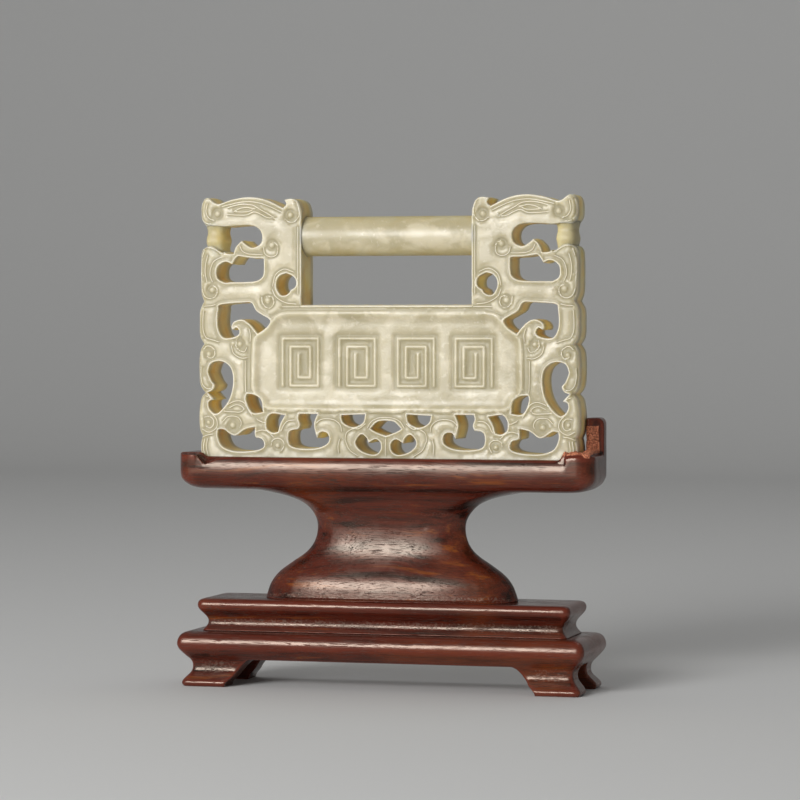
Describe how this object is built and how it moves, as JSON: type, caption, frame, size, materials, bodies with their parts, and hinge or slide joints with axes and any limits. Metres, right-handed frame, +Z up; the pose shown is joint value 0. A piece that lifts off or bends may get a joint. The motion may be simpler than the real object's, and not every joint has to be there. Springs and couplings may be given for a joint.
{
  "type": "jade plaque on stand",
  "caption": "Pierced rectangular jade plaque with a round bar between its uprights, standing in the groove of a waisted hardwood stand with bracket feet.",
  "frame": {"origin": "centre of the stand's footprint, on the surface that it stands on", "axes": "+X to the right along the plaque, -Y towards the plaque's front, +Z up"},
  "size_m": [0.0832, 0.0228, 0.0954],
  "materials": {
    "jade": "polished",
    "redwood": "waxed",
    "peg_wood": "plain"
  },
  "bodies": {
    "stand": {"cradle_block": "redwood", "base_upper_tier": "redwood", "base_lower_tier": "redwood", "base_peg_left": "peg_wood", "base_peg_right": "peg_wood"},
    "plaque": {"jade_plaque": "jade"}
  },
  "joints": [
    {"name": "plaque_lift", "type": "slide", "parent": "stand", "child": "plaque", "axis": [0, 0, 1], "range_m": [0, 0.014]}
  ]
}
